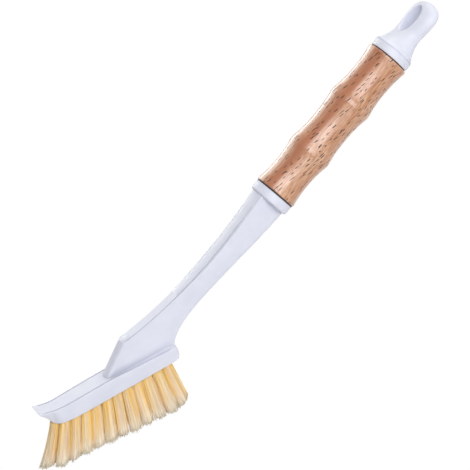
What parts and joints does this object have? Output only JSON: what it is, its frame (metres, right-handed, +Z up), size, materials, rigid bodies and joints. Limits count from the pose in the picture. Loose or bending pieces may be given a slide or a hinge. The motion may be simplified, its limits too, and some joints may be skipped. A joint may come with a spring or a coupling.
{
  "type": "window track brush",
  "caption": "Long-handled window track brush with a narrow bristle head, scraping lip, ringed wooden grip and a hanging eye.",
  "frame": {"origin": "middle of the bounding box's base, on the surface that the brush lies on", "axes": "+X along the brush towards the hanging eye, +Y across it, +Z up, out of the back of the head"},
  "size_m": [0.2986, 0.0232, 0.0683],
  "materials": {
    "white_plastic": "satin moulded polypropylene",
    "beech": "turned and clear lacquered",
    "bristle": "drawn filament, satin",
    "anchor_steel": "plated flat wire"
  },
  "bodies": {
    "root": {"brush_body": "white_plastic", "wood_grip": "beech", "end_cap": "white_plastic", "tuft_near_01": "bristle", "tuft_near_02": "bristle", "tuft_near_03": "bristle", "tuft_near_04": "bristle", "tuft_near_05": "bristle", "tuft_near_06": "bristle", "tuft_near_07": "bristle", "tuft_near_08": "bristle", "tuft_near_09": "bristle", "tuft_near_10": "bristle", "tuft_near_11": "bristle", "tuft_far_01": "bristle", "tuft_far_02": "bristle", "tuft_far_03": "bristle", "tuft_far_04": "bristle", "tuft_far_05": "bristle", "tuft_far_06": "bristle", "tuft_far_07": "bristle", "tuft_far_08": "bristle", "tuft_far_09": "bristle", "tuft_far_10": "bristle", "tuft_far_11": "bristle", "tuft_nose": "bristle", "anchor_near_01": "anchor_steel", "anchor_near_02": "anchor_steel", "anchor_near_03": "anchor_steel", "anchor_near_04": "anchor_steel", "anchor_near_05": "anchor_steel", "anchor_near_06": "anchor_steel", "anchor_near_07": "anchor_steel", "anchor_near_08": "anchor_steel", "anchor_near_09": "anchor_steel", "anchor_near_10": "anchor_steel", "anchor_near_11": "anchor_steel", "anchor_far_01": "anchor_steel", "anchor_far_02": "anchor_steel", "anchor_far_03": "anchor_steel", "anchor_far_04": "anchor_steel", "anchor_far_05": "anchor_steel", "anchor_far_06": "anchor_steel", "anchor_far_07": "anchor_steel", "anchor_far_08": "anchor_steel", "anchor_far_09": "anchor_steel", "anchor_far_10": "anchor_steel", "anchor_far_11": "anchor_steel", "anchor_nose": "anchor_steel"}
  },
  "joints": []
}
